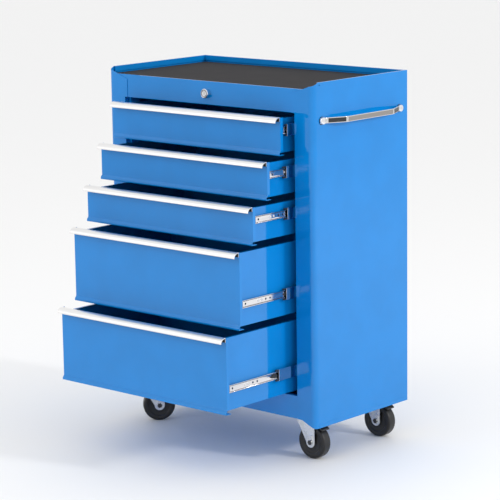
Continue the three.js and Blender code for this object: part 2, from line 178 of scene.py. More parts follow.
class Effects:
    """Node groups that several finishes share. Each is built once."""

    _made: dict[str, bpy.types.NodeTree] = {}

    @classmethod
    def _group(cls, name: str, inputs: dict[str, float], outputs: Sequence[str]) -> tuple[Wiring, dict, dict]:
        """Starts a group.

        Args:
            name: The group's name.
            inputs: Names and starting values of its number inputs. It always has a Vector input.
            outputs: Names of its number outputs.

        Returns:
            The wiring, the input sockets by name and the output sockets by name.
        """
        tree = bpy.data.node_groups.new(name, "ShaderNodeTree")
        tree.interface.new_socket("Vector", in_out="INPUT", socket_type="NodeSocketVector")
        for key, value in inputs.items():
            socket = tree.interface.new_socket(key, in_out="INPUT", socket_type="NodeSocketFloat")
            socket.default_value = value
        for key in outputs:
            tree.interface.new_socket(key, in_out="OUTPUT", socket_type="NodeSocketFloat")
        wiring = Wiring(tree)
        entry = wiring.node("NodeGroupInput")
        leave = wiring.node("NodeGroupOutput")
        ins = {socket.name: socket for socket in entry.outputs if socket.name}
        outs = {socket.name: socket for socket in leave.inputs if socket.name}
        cls._made[name] = tree
        return wiring, ins, outs

    @classmethod
    def orange_peel(cls) -> bpy.types.NodeTree:
        """The fine rolling texture that cured powder leaves, with the faint mottle of handling."""
        name = "Orange peel"
        if name in cls._made:
            return cls._made[name]
        wiring, ins, outs = cls._group(name, {"Size mm": 1.4, "Mottle mm": 60.0}, ("Height", "Mottle"))
        fine = wiring.noise(ins["Vector"], wiring.math("DIVIDE", 1000.0, ins["Size mm"]), 1.0)
        broad = wiring.noise(ins["Vector"], wiring.math("DIVIDE", 1000.0, ins["Mottle mm"]), 3.0)
        wiring.join(fine, outs["Height"])
        wiring.join(wiring.remap(broad, 0.35, 0.65, 0.0, 1.0), outs["Mottle"])
        return cls._made[name]

    @classmethod
    def brushing(cls) -> bpy.types.NodeTree:
        """Fine parallel scratches, drawn out along one axis by the vector that comes in."""
        name = "Brushing"
        if name in cls._made:
            return cls._made[name]
        wiring, ins, outs = cls._group(name, {"Pitch mm": 0.5}, ("Height", "Streak"))
        pitch = wiring.math("DIVIDE", 1000.0, ins["Pitch mm"])
        lines = wiring.noise(ins["Vector"], pitch, 2.0)
        streak = wiring.noise(ins["Vector"], wiring.math("DIVIDE", pitch, 6.0), 3.0)
        wiring.join(lines, outs["Height"])
        wiring.join(wiring.remap(streak, 0.3, 0.7, 0.0, 1.0), outs["Streak"])
        return cls._made[name]

    @classmethod
    def dust(cls) -> bpy.types.NodeTree:
        """A mask of the thin dust that settles in patches on faces that look up."""
        name = "Settled dust"
        if name in cls._made:
            return cls._made[name]
        wiring, ins, outs = cls._group(name, {"Patch mm": 90.0, "Amount": 0.1}, ("Mask",))
        geometry = wiring.node("ShaderNodeNewGeometry")
        split = wiring.node("ShaderNodeSeparateXYZ")
        wiring.join(geometry.outputs["Normal"], split.inputs[0])
        upward = wiring.remap(split.outputs[2], 0.6, 1.0, 0.0, 1.0)
        patch = wiring.noise(ins["Vector"], wiring.math("DIVIDE", 1000.0, ins["Patch mm"]), 5.0)
        spread = wiring.remap(patch, 0.45, 0.75, 0.0, 1.0)
        mask = wiring.math("MULTIPLY", wiring.math("MULTIPLY", upward, spread), ins["Amount"])
        wiring.join(mask, outs["Mask"])
        return cls._made[name]


# ------------------------------------------------------------------------------------------------
# Finishes
# ------------------------------------------------------------------------------------------------


def rgba(color: RGB) -> tuple[float, float, float, float]:
    """Adds a full alpha to a colour."""
    return (*color, 1.0)


@dataclass(frozen=True)
class Finish:
    """What every finish has: its name, colour and gloss, and the slot that it belongs to.

    Attributes:
        name: The material's name.
        slot: The record's slot.
        color: Linear base colour.
        roughness: The surface's middle roughness.
    """

    name: str
    slot: Slot
    color: RGB
    roughness: float

    def material(self) -> bpy.types.Material:
        """The finish's material, built at its first use."""
        made = bpy.data.materials.get(self.name)
        if made is None:
            made = bpy.data.materials.new(self.name)
            made.use_nodes = True
            made.diffuse_color = rgba(self.color)
            wiring = Wiring(made.node_tree)
            shader = made.node_tree.nodes["Principled BSDF"]
            place = wiring.node("ShaderNodeTexCoord").outputs["Object"]
            self.wire(wiring, shader, place)
        return made

    def wire(self, wiring: Wiring, shader: bpy.types.Node, place: bpy.types.NodeSocket) -> None:
        """Fills in the material's nodes.

        Args:
            wiring: The material's tree.
            shader: Its Principled BSDF.
            place: The Object coordinates.
        """
        raise NotImplementedError

    def effect(
        self, wiring: Wiring, tree: bpy.types.NodeTree, place: object, **values: float
    ) -> bpy.types.Node:
        """Places a shared group in the material with this finish's own values."""
        node = wiring.node("ShaderNodeGroup", node_tree=tree)
        wiring.feed(node.inputs["Vector"], place)
        for key, value in values.items():
            node.inputs[key.replace("_", " ")].default_value = value
        return node

    def bump(
        self, wiring: Wiring, shader: bpy.types.Node, height: object, depth_mm: float, strength: float
    ) -> None:
        """Drives the shader's normal from a height.

        Args:
            wiring: The material's tree.
            shader: Its Principled BSDF.
            height: A socket that gives the height, from 0 to 1.
            depth_mm: How deep the relief is.
            strength: The Bump node's strength.
        """
        node = wiring.node("ShaderNodeBump")
        node.inputs["Distance"].default_value = depth_mm * MM
        node.inputs["Strength"].default_value = strength
        wiring.feed(node.inputs["Height"], height)
        wiring.join(node.outputs["Normal"], shader.inputs["Normal"])

    def stretched(self, wiring: Wiring, place: object, stretch: RGB) -> bpy.types.NodeSocket:
        """The coordinates scaled by axis, so that a pattern runs along the axis scaled least."""
        node = wiring.node("ShaderNodeMapping")
        node.inputs["Scale"].default_value = stretch
        wiring.feed(node.inputs["Vector"], place)
        return node.outputs["Vector"]


@dataclass(frozen=True)
class PowderCoat(Finish):
    """Glossy powder coat: a coloured body under a clear skin, with orange peel and settled dust.

    Attributes:
        coat: How much clear skin lies over the colour.
        coat_roughness: How sharp the skin's reflections are.
        dust_amount: How much dust lies on faces that look up.
        specular: How strongly the coloured body itself mirrors.
    """

    coat: float = 1.0
    coat_roughness: float = 0.03
    dust_amount: float = 0.03
    specular: float = 0.0

    def wire(self, wiring: Wiring, shader: bpy.types.Node, place: bpy.types.NodeSocket) -> None:
        """Colour with a faint mottle, and peel in the surface. See Finish.wire."""
        peel = self.effect(wiring, Effects.orange_peel(), place, Size_mm=1.6, Mottle_mm=70.0)
        dust = self.effect(wiring, Effects.dust(), place, Patch_mm=80.0, Amount=self.dust_amount)
        deeper = tuple(0.94 * channel for channel in self.color)
        body = wiring.mix(peel.outputs["Mottle"], rgba(self.color), rgba(deeper))
        dusty = wiring.mix(dust.outputs["Mask"], body, rgba((0.55, 0.54, 0.52)))
        wiring.join(dusty, shader.inputs["Base Color"])
        gloss = wiring.remap(peel.outputs["Mottle"], 0.0, 1.0, self.roughness - 0.02, self.roughness + 0.03)
        wiring.join(gloss, shader.inputs["Roughness"])
        shader.inputs["Specular IOR Level"].default_value = self.specular
        shader.inputs["Coat Weight"].default_value = self.coat
        shader.inputs["Coat Roughness"].default_value = self.coat_roughness
        self.bump(wiring, shader, peel.outputs["Height"], 0.015, 0.35)


@dataclass(frozen=True)
class BrushedMetal(Finish):
    """Bare metal with fine parallel brushing.

    Attributes:
        stretch: How finely the brushing is drawn across each axis.
        pitch_mm: The distance between scratches.
        relief: The strength of the scratches' relief.
        metallic: How metallic the surface is.
    """

    stretch: RGB = (0.02, 1.0, 1.0)
    pitch_mm: float = 0.6
    relief: float = 0.15
    metallic: float = 1.0

    def wire(self, wiring: Wiring, shader: bpy.types.Node, place: bpy.types.NodeSocket) -> None:
        """Brushed lines in colour, gloss and relief. See Finish.wire."""
        drawn = self.stretched(wiring, place, self.stretch)
        lines = self.effect(wiring, Effects.brushing(), drawn, Pitch_mm=self.pitch_mm)
        darker = tuple(0.88 * channel for channel in self.color)
        tone = wiring.mix(lines.outputs["Streak"], rgba(self.color), rgba(darker))
        wiring.join(tone, shader.inputs["Base Color"])
        gloss = wiring.remap(
            lines.outputs["Streak"], 0.0, 1.0, self.roughness * 0.85, self.roughness * 1.25
        )
        wiring.join(gloss, shader.inputs["Roughness"])
        shader.inputs["Metallic"].default_value = self.metallic
        self.bump(wiring, shader, lines.outputs["Height"], 0.01, self.relief)


@dataclass(frozen=True)
class PlatedMetal(Finish):
    """Plated metal with a cloudy variation in gloss.

    Attributes:
        cloud_mm: The size of the plating's clouds.
        tint: The colour in the clouds.
    """

    cloud_mm: float = 14.0
    tint: RGB = (0.74, 0.74, 0.72)

    def wire(self, wiring: Wiring, shader: bpy.types.Node, place: bpy.types.NodeSocket) -> None:
        """Clouds in colour and gloss over a fine grain. See Finish.wire."""
        peel = self.effect(
            wiring, Effects.orange_peel(), place, Size_mm=0.7, Mottle_mm=self.cloud_mm
        )
        tone = wiring.mix(peel.outputs["Mottle"], rgba(self.color), rgba(self.tint))
        wiring.join(tone, shader.inputs["Base Color"])
        gloss = wiring.remap(
            peel.outputs["Mottle"], 0.0, 1.0, self.roughness * 0.8, self.roughness * 1.3
        )
        wiring.join(gloss, shader.inputs["Roughness"])
        shader.inputs["Metallic"].default_value = 1.0
        self.bump(wiring, shader, peel.outputs["Height"], 0.01, 0.12)


@dataclass(frozen=True)
class GrainedRubber(Finish):
    """Rubber, foam or moulded plastic with a pebbled grain and settled dust.

    Attributes:
        grain_mm: The size of one pebble.
        depth_mm: How deep the grain is.
        relief: The strength of the grain's relief.
        dust_amount: How much dust lies on faces that look up.
        specular: How strongly the surface mirrors.
    """

    grain_mm: float = 1.2
    depth_mm: float = 0.15
    relief: float = 0.5
    dust_amount: float = 0.12
    specular: float = 0.5

    def wire(self, wiring: Wiring, shader: bpy.types.Node, place: bpy.types.NodeSocket) -> None:
        """Pebbles in relief and gloss, with dust on top. See Finish.wire."""
        cells = wiring.node("ShaderNodeTexVoronoi", feature="SMOOTH_F1")
        wiring.feed(cells.inputs["Vector"], place)
        cells.inputs["Scale"].default_value = 1.0 / (self.grain_mm * MM)
        dust = self.effect(wiring, Effects.dust(), place, Patch_mm=70.0, Amount=self.dust_amount)
        lighter = tuple(min(1.0, 1.35 * channel) for channel in self.color)
        tone = wiring.mix(cells.outputs["Distance"], rgba(lighter), rgba(self.color))
        dusty = wiring.mix(dust.outputs["Mask"], tone, rgba((0.38, 0.37, 0.35)))
        wiring.join(dusty, shader.inputs["Base Color"])
        gloss = wiring.remap(
            cells.outputs["Distance"], 0.0, 0.6, self.roughness - 0.06, self.roughness + 0.06
        )
        wiring.join(gloss, shader.inputs["Roughness"])
        shader.inputs["Specular IOR Level"].default_value = self.specular
        self.bump(wiring, shader, cells.outputs["Distance"], self.depth_mm, self.relief)


BLUE = PowderCoat("Blue powder coat", Slot.BLUE, (0.002, 0.215, 0.620), 0.45)
SATIN = BrushedMetal("Satin pull rail", Slot.RAIL, (0.88, 0.875, 0.87), 0.32)
ZINC = PlatedMetal("Bright zinc", Slot.ZINC, (0.78, 0.78, 0.80), 0.26)
# Blackened steel for the axle nuts; the same black is also painted shade on the slides' webs.
BLACK_STEEL_AND_SHADE = PlatedMetal("Blackened steel and painted shade", Slot.ZINC, (0.060, 0.060, 0.064), 0.34, tint=(0.09, 0.09, 0.09))
SLIDE_ZINC = BrushedMetal("Rolled zinc strip", Slot.ZINC, (0.76, 0.75, 0.77), 0.12, stretch=(1.0, 0.02, 1.0))
LOCK_CHROME = PlatedMetal("Lock chrome", Slot.LOCK, (0.82, 0.83, 0.85), 0.10, tint=(0.78, 0.79, 0.81))
HANDLE_CHROME = BrushedMetal(
    "Handle chrome", Slot.HANDLE, (0.78, 0.77, 0.76), 0.12, stretch=(1.0, 0.02, 1.0), relief=0.08
)
GRIP_FACE = BrushedMetal(
    "Brushed grip face", Slot.HANDLE, (0.36, 0.34, 0.325), 0.34, stretch=(1.0, 0.02, 1.0), relief=0.12
)
# Black for the leg inlays, and painted shade in the rings round the handle's bosses.
LEG_INLAY_AND_RING_SHADE = GrainedRubber("Black leg inlay and ring shade", Slot.HANDLE, (0.008, 0.008, 0.009), 0.35, 0.6, 0.04, 0.2, 0.0)
# Black skin inside the pull rails' hollows, as painted shade.
RAIL_HOLLOW_SHADE = GrainedRubber(
    "Painted rail hollow shade", Slot.RAIL, (0.012, 0.012, 0.013), 0.6, 0.6, 0.04, 0.2, 0.0, 0.2
)
LINER = GrainedRubber("Grained liner", Slot.MAT, (0.024, 0.023, 0.025), 0.85, dust_amount=0.01, specular=0.15)
TYRE = GrainedRubber("Hard wheel rubber", Slot.WHEEL, (0.006, 0.006, 0.007), 0.38, 0.5, 0.05, 0.25, 0.05)
# Black used as painted shade at the floor of the lock's groove.
RECESS_SHADE = GrainedRubber("Painted recess shade", Slot.LOCK, (0.008, 0.008, 0.009), 0.5, 0.6, 0.04, 0.2, 0.0)
PLASTIC = GrainedRubber("Black moulding", Slot.PEDAL, (0.013, 0.013, 0.014), 0.42, 0.6, 0.05, 0.3, 0.04)


# ------------------------------------------------------------------------------------------------
# Mesh helpers
# ------------------------------------------------------------------------------------------------


def mesh_object(name: str, mesh_data: bmesh.types.BMesh, finish: Finish) -> bpy.types.Object:
    """Turns a bmesh into an object at the origin.

    Args:
        name: The piece's name.
        mesh_data: The mesh, which is freed.
        finish: The finish to dress it in.

    Returns:
        The object, linked to the scene.
    """
    mesh = bpy.data.meshes.new(name)
    mesh_data.to_mesh(mesh)
    mesh_data.free()
    mesh.shade_smooth()
    mesh.set_sharp_from_angle(angle=SMOOTH_ANGLE)
    mesh.materials.append(finish.material())
    piece = bpy.data.objects.new(name, mesh)
    bpy.context.scene.collection.objects.link(piece)
    return piece


def outward(mesh_data: bmesh.types.BMesh) -> bmesh.types.BMesh:
    """Merges doubles and turns the faces outwards."""
    bmesh.ops.remove_doubles(mesh_data, verts=mesh_data.verts, dist=1e-6)
    bmesh.ops.recalc_face_normals(mesh_data, faces=mesh_data.faces)
    return mesh_data


def prism(target: bmesh.types.BMesh, outline: Sequence[Point2], axis: Axis, low: float, high: float) -> None:
    """Adds a closed prism to a bmesh.

    Args:
        target: The bmesh to add to.
        outline: The section's points, in metres.
        axis: The axis that the section is swept along.
        low: Where the sweep starts.
        high: Where it ends.
    """
    rings = [[target.verts.new(axis.place(a, b, along)) for a, b in outline] for along in (low, high)]
    count = len(outline)
    for i in range(count):
        j = (i + 1) % count
        target.faces.new((rings[0][i], rings[0][j], rings[1][j], rings[1][i]))
    target.faces.new(rings[0][::-1])
    target.faces.new(rings[1])


def slab(target: bmesh.types.BMesh, low: Vector, high: Vector) -> None:
    """Adds a box between two corners."""
    outline = [(low.x, low.y), (high.x, low.y), (high.x, high.y), (low.x, high.y)]
    prism(target, outline, Axis.Z, low.z, high.z)


def revolve(
    target: bmesh.types.BMesh,
    profile: Sequence[Point2],
    centre: Vector,
    direction: Vector,
    segments: int = 64,
) -> None:
    """Adds a turned body to a bmesh.

    Args:
        target: The bmesh to add to.
        profile: Points of (radius, place along the direction). It closes on itself, or runs
            from the axis to the axis.
        centre: A point on the axis.
        direction: The axis.
        segments: How many steps there are round the axis.
    """
    turn = Vector((0.0, 0.0, 1.0)).rotation_difference(direction.normalized()).to_matrix()
    on_axis = profile[0][0] == 0.0 and profile[-1][0] == 0.0
    rings = []
    for radius, along in profile:
        if radius == 0.0:
            rings.append([target.verts.new(centre + turn @ Vector((0.0, 0.0, along)))])
            continue
        angles = (2.0 * math.pi * i / segments for i in range(segments))
        rings.append([
            target.verts.new(centre + turn @ Vector((radius * math.cos(t), radius * math.sin(t), along)))
            for t in angles
        ])
    pairs = list(zip(rings, rings[1:]))
    if not on_axis:
        pairs.append((rings[-1], rings[0]))
    for first, second in pairs:
        for i in range(segments):
            j = (i + 1) % segments
            corners = [
                first[i % len(first)], first[j % len(first)], second[j % len(second)], second[i % len(second)]
            ]
            unique = list(dict.fromkeys(corners))
            if len(unique) > 2:
                target.faces.new(unique)


def arc(centre: Point2, radii: Point2, start: float, end: float, steps: int) -> list[Point2]:
    """Points on a stretch of an ellipse.

    Args:
        centre: The ellipse's centre.
        radii: Its two radii.
        start: The first angle in degrees.
        end: The last angle in degrees.
        steps: How many steps there are between them.

    Returns:
        The points.
    """
    angles = [math.radians(start + (end - start) * i / steps) for i in range(steps + 1)]
    return [(centre[0] + radii[0] * math.cos(t), centre[1] + radii[1] * math.sin(t)) for t in angles]


def rounded(path: Sequence[Point2], radius: float, steps: int = 5) -> list[Point2]:
    """Rounds the inner corners of an open path.

    Args:
        path: The path's points.
        radius: The rounding's radius, cut down where a leg is short.
        steps: How many steps each corner takes.

    Returns:
        The rounded path.
    """
    points = [Vector(p) for p in path]
    result = [tuple(points[0])]
    for before, corner, after in zip(points, points[1:], points[2:]):
        back, on = (before - corner), (after - corner)
        reach = min(radius, back.length * 0.45, on.length * 0.45)
        first = corner + back.normalized() * reach
        last = corner + on.normalized() * reach
        for i in range(steps + 1):
            t = i / steps
            result.append(tuple(first * (1 - t) ** 2 + corner * 2 * t * (1 - t) + last * t * t))
    result.append(tuple(points[-1]))
    return result


def sheet_section(path: Sequence[Point2], thickness: float) -> list[Point2]:
    """The outline of a folded sheet: its path, and the path set off to the left by the thickness."""
    points = [Vector(p) for p in path]
    normals = []
    for first, second in zip(points, points[1:]):
        along = (second - first).normalized()
        normals.append(Vector((-along.y, along.x)))
    far = []
    for i, point in enumerate(points):
        before = normals[max(i - 1, 0)]
        after = normals[min(i, len(normals) - 1)]
        mitre = (before + after) / (1.0 + before.dot(after))
        far.append(tuple(point + mitre * thickness))
    return [tuple(p) for p in points] + far[::-1]


def soften(piece: bpy.types.Object, width_mm: float, segments: int = 2) -> bpy.types.Object:
    """Rounds a piece's sharp edges.

    Args:
        piece: The piece.
        width_mm: The rounding's width.
        segments: How many faces each rounding takes.

    Returns:
        The same piece.
    """
    bevel = piece.modifiers.new("Rounded edges", "BEVEL")
    bevel.width = width_mm * MM
    bevel.segments = segments
    bevel.limit_method = "ANGLE"
    bevel.angle_limit = SMOOTH_ANGLE
    bevel.harden_normals = True
    return piece


def refined(node: str, name: str, finish: Finish, width_mm: float) -> bpy.types.Object:
    """Makes a finished copy of a CAD node, with its flat faces merged and its edges rounded.

    Args:
        node: The CAD node.
        name: The piece's name.
        finish: The finish to dress it in.
        width_mm: The rounding's width.

    Returns:
        The piece, which isn't yet on a body.
    """
    copy = bmesh.new()
    copy.from_mesh(frame["nodes"][node].data)
    bmesh.ops.remove_doubles(copy, verts=copy.verts, dist=2e-6)
    bmesh.ops.dissolve_limit(copy, angle_limit=math.radians(1.0), verts=copy.verts, edges=copy.edges)
    return soften(mesh_object(name, copy, finish), width_mm)


def attach(piece: bpy.types.Object, body: str, finish: Finish, *nodes: str) -> bpy.types.Object:
    """Puts a finished piece on its body.

    Args:
        piece: The piece.
        body: The CAD body that it moves with.
        finish: Not used.
        *nodes: The CAD nodes that it stands for.

    Returns:
        The same piece.
    """
    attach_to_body(piece, body)
    if nodes:
        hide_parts(*nodes)
    log.info("%s on %s", piece.name, body)
    return piece


# ------------------------------------------------------------------------------------------------
# Repeats, made with Geometry Nodes
# ------------------------------------------------------------------------------------------------


class RowTree:
    """A Geometry Nodes tree that sets copies of one part along a straight row."""

    INPUTS = (
        ("Part", "NodeSocketObject"),
        ("Count", "NodeSocketInt"),
        ("Start", "NodeSocketVector"),
        ("Step", "NodeSocketVector"),
        ("Turn", "NodeSocketRotation"),
        ("Finish", "NodeSocketMaterial"),
    )

    def __init__(self) -> None:
        """Builds the tree once, for every row."""
        self.tree = bpy.data.node_groups.new("Row of parts", "GeometryNodeTree")
        face = self.tree.interface
        face.new_socket("Geometry", in_out="OUTPUT", socket_type="NodeSocketGeometry")
        face.new_socket("Geometry", in_out="INPUT", socket_type="NodeSocketGeometry")
        self.sockets = {
            name: face.new_socket(name, in_out="INPUT", socket_type=kind).identifier
            for name, kind in self.INPUTS
        }
        wiring = Wiring(self.tree)
        entry = wiring.node("NodeGroupInput")
        leave = wiring.node("NodeGroupOutput")
        line = wiring.node("GeometryNodeMeshLine", mode="OFFSET")
        wiring.join(entry.outputs["Count"], line.inputs["Count"])
        wiring.join(entry.outputs["Start"], line.inputs["Start Location"])
        wiring.join(entry.outputs["Step"], line.inputs["Offset"])
        part = wiring.node("GeometryNodeObjectInfo")
        wiring.join(entry.outputs["Part"], part.inputs["Object"])
        copies = wiring.node("GeometryNodeInstanceOnPoints")
        wiring.join(line.outputs["Mesh"], copies.inputs["Points"])
        wiring.join(part.outputs["Geometry"], copies.inputs["Instance"])
        wiring.join(entry.outputs["Turn"], copies.inputs["Rotation"])
        real = wiring.node("GeometryNodeRealizeInstances")
        wiring.join(copies.outputs["Instances"], real.inputs["Geometry"])
        dress = wiring.node("GeometryNodeSetMaterial")
        wiring.join(real.outputs["Geometry"], dress.inputs["Geometry"])
        wiring.join(entry.outputs["Finish"], dress.inputs["Material"])
        wiring.join(dress.outputs["Geometry"], leave.inputs["Geometry"])


@dataclass
class Row:
    """One straight row of copies.

    Attributes:
        count: How many copies there are.
        start: The first copy's place.
        step: The way from one copy to the next.
        turn: The rotation of every copy, as Euler angles.
    """

    count: int
    start: Vector
    step: Vector
    turn: tuple[float, float, float] = (0.0, 0.0, 0.0)


class RowMaker:
    """Makes plain meshes from rows of copies, one for each body."""

    def __init__(self) -> None:
        """Builds the tree."""
        self.rows = RowTree()

    def make(
        self, name: str, part: bpy.types.Object, rows: Iterable[Row], finish: Finish
    ) -> bpy.types.Object:
        """Sets copies of a part along several rows and joins them in one mesh.

        Args:
            name: The new piece's name.
            part: The part that is copied, which stays out of the scene.
            rows: The rows.
            finish: The finish to dress the copies in.

        Returns:
            The new piece.
        """
        joined = bmesh.new()
        for row in rows:
            host = bpy.data.objects.new("row_host", bpy.data.meshes.new("row_host"))
            bpy.context.scene.collection.objects.link(host)
            modifier = host.modifiers.new("Row", "NODES")
            modifier.node_group = self.rows.tree
            values = {
                "Part": part,
                "Count": row.count,
                "Start": row.start,
                "Step": row.step,
                "Turn": row.turn,
                "Finish": finish.material(),
            }
            for key, value in values.items():
                modifier[self.rows.sockets[key]] = value
            bpy.context.view_layer.update()
            evaluated = host.evaluated_get(bpy.context.evaluated_depsgraph_get())
            plain = bpy.data.meshes.new_from_object(evaluated)
            joined.from_mesh(plain)
            host.modifiers.remove(modifier)
            bpy.data.objects.remove(host)
            bpy.data.meshes.remove(plain)
        return mesh_object(name, joined, finish)


def screw_part(name: str, radius: float, height: float) -> bpy.types.Object:
    """A pan-head screw with a cross recess, its top facing +Z and its seat at the origin.

    Args:
        name: The part's name.
        radius: The head's radius.
        height: The head's height.

    Returns:
        The part, which isn't linked to the scene.
    """
    made = bmesh.new()
    arm, half = 0.55 * radius, 0.14 * radius
    depth = 0.55 * height
    cross = [(arm, -half), (arm, half), (half, half), (half, arm), (-half, arm), (-half, half),
             (-arm, half), (-arm, -half), (-half, -half), (-half, -arm), (half, -arm), (half, -half)]
    rim_radii = [
        (radius, 0.0), (radius, 0.45 * height), (0.93 * radius, 0.75 * height), (0.76 * radius, height)
    ]
    sides = 24
    rings = [
        [made.verts.new((r * math.cos(2 * math.pi * i / sides), r * math.sin(2 * math.pi * i / sides), z))
         for i in range(sides)]
        for r, z in rim_radii
    ]
    for lower, upper in zip(rings, rings[1:]):
        for i in range(sides):
            j = (i + 1) % sides
            made.faces.new((lower[i], lower[j], upper[j], upper[i]))
    made.faces.new(rings[0][::-1])
    top = [made.verts.new((x, y, height)) for x, y in cross]
    floor = [made.verts.new((x, y, height - depth)) for x, y in cross]
    edges = [made.edges.get((rings[-1][i], rings[-1][(i + 1) % sides])) for i in range(sides)]
    edges += [made.edges.new((top[i], top[(i + 1) % 12])) for i in range(12)]
    bmesh.ops.triangle_fill(made, edges=edges, use_beauty=True, use_dissolve=False)
    for i in range(12):
        j = (i + 1) % 12
        made.faces.new((top[i], top[j], floor[j], floor[i]))
    made.faces.new(floor)
    mesh = bpy.data.meshes.new(name)
    outward(made).to_mesh(mesh)
    made.free()
    return bpy.data.objects.new(name, mesh)


def ball_part(name: str, radius: float) -> bpy.types.Object:
    """A bearing ball at the origin, which isn't linked to the scene."""
    made = bmesh.new()
    bmesh.ops.create_icosphere(made, subdivisions=2, radius=radius)
    mesh = bpy.data.meshes.new(name)
    made.to_mesh(mesh)
    made.free()
    return bpy.data.objects.new(name, mesh)


# ------------------------------------------------------------------------------------------------
# Cabinet
# ------------------------------------------------------------------------------------------------


@dataclass
class Cabinet:
    """The folded sheet-steel body.

    Attributes:
        rows: Makes the repeated parts.
        edge_mm: The rounding of the sheets' edges.
        screw_radius: The radius of the screw heads on the back.
        hem_height: How far up the side panels the bottom hems reach.
    """

    rows: RowMaker
    edge_mm: float = 0.35
    screw_radius: float = 3.6 * MM
    hem_height: float = 9.0 * MM

    SHEETS = ("side_panel_right", "side_panel_left", "back_panel", "top_deck", "bottom_pan",
              "slide_frame_right", "slide_frame_left")

    def build(self) -> None:
        """Builds the sheets, the liner, the bottom hems and the back screws."""
        for node in self.SHEETS:
            attach(refined(node, f"{node}_sheet", BLUE, self.edge_mm), "cabinet", BLUE, node)
        attach(refined("top_mat", "top_mat_liner", LINER, 0.6), "cabinet", LINER, "top_mat")
        self.hems()
        self.back_screws()

    def hems(self) -> None:
        """The hems folded up along the bottom edges of the two side panels."""
        made = bmesh.new()
        for side, way in (("left", -1.0), ("right", 1.0)):
            low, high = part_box(f"side_panel_{side}")
            face = low.x if side == "left" else high.x
            ends = sorted((face - way * 0.3 * MM, face + way * 0.35 * MM))
            start = Vector((ends[0], low.y + 14.0 * MM, low.z))
            slab(made, start, Vector((ends[1], high.y - 1.0 * MM, low.z + self.hem_height)))
        attach(soften(mesh_object("side_hems", outward(made), BLUE), 0.25), "cabinet", BLUE)

    def back_screws(self) -> None:
        """Screws down both rear flanges."""
        low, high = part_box("back_panel")
        left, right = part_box("side_panel_left")[0].x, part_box("side_panel_right")[1].x
        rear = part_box("side_panel_right")[1].y
        inset = 11.0 * MM
        part = screw_part("back_screw_part", self.screw_radius, 2.0 * MM)
        count = 7
        start = low.z + 30.0 * MM
        step = (high.z - 30.0 * MM - start) / (count - 1)
        turned_back = (-math.pi / 2, 0.0, 0.0)
        rows = [
            Row(count, Vector((x, rear, start)), Vector((0.0, 0.0, step)), turned_back)
            for x in (left + inset, right - inset)
        ]
        attach(self.rows.make("back_screws", part, rows, ZINC), "cabinet", ZINC)


@dataclass
class Lock:
    """The cam lock in the header.

    Attributes:
        segments: How many steps the turned faces take.
    """

    segments: int = 64

    def build(self) -> None:
        """Builds the barrel and the plug."""
        low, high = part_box("lock_barrel")
        centre = Vector(((low.x + high.x) / 2, 0.0, (low.z + high.z) / 2))
        self.barrel(centre, low.y, (high.x - low.x) / 2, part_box("top_deck")[0].y, high.y)
        plug = refined("lock_plug", "lock_plug_core", LOCK_CHROME, 0.2)
        attach(plug, "lock_plug", LOCK_CHROME, "lock_plug")

    def barrel(self, centre: Vector, front: float, radius: float, face: float, back: float) -> None:
        """The barrel, a dished flange with a black ring at the floor of its groove as painted shade, and its
        body.

        Args:
            centre: A point on the lock's axis.
            front: Where the barrel starts.
            radius: The flange's radius.
            face: The header's front face.
            back: Where the barrel ends.
        """
        bore = radius * 0.56
        body = radius * 0.857
        rise = 0.6 * MM
        outline = [
            (bore, front + 1.0 * MM), (bore + 0.4 * MM, front + rise), (bore + 1.2 * MM, front + rise),
            (bore + 1.4 * MM, front + 2.6 * MM), (body - 0.6 * MM, front + 2.6 * MM),
            (body - 0.3 * MM, front + 0.2 * MM), (body + 0.2 * MM, front),
            (radius - 0.7 * MM, front + 0.5 * MM),
            (radius, front + 1.6 * MM), (radius, face - 0.4 * MM), (body, face - 0.3 * MM),
            (body, back - 1.0 * MM), (body - 1.0 * MM, back), (bore, back),
        ]
        made = bmesh.new()
        revolve(made, outline, centre, Vector((0.0, 1.0, 0.0)), self.segments)
        piece = mesh_object("lock_barrel_shell", outward(made), LOCK_CHROME)
        attach(piece, "cabinet", LOCK_CHROME, "lock_barrel")
        # A black ring at the groove's floor: painted shade in the gap round the plug.
        ring = bmesh.new()
        inner, outer = bore + 1.5 * MM, body - 0.7 * MM
        revolve(
            ring,
            [(inner, front + 2.0 * MM), (outer, front + 2.0 * MM),
             (outer, front + 2.5 * MM), (inner, front + 2.5 * MM)],
            centre,
            Vector((0.0, 1.0, 0.0)),
            self.segments,
        )
        attach(mesh_object("lock_dark_ring", outward(ring), RECESS_SHADE), "cabinet", RECESS_SHADE)


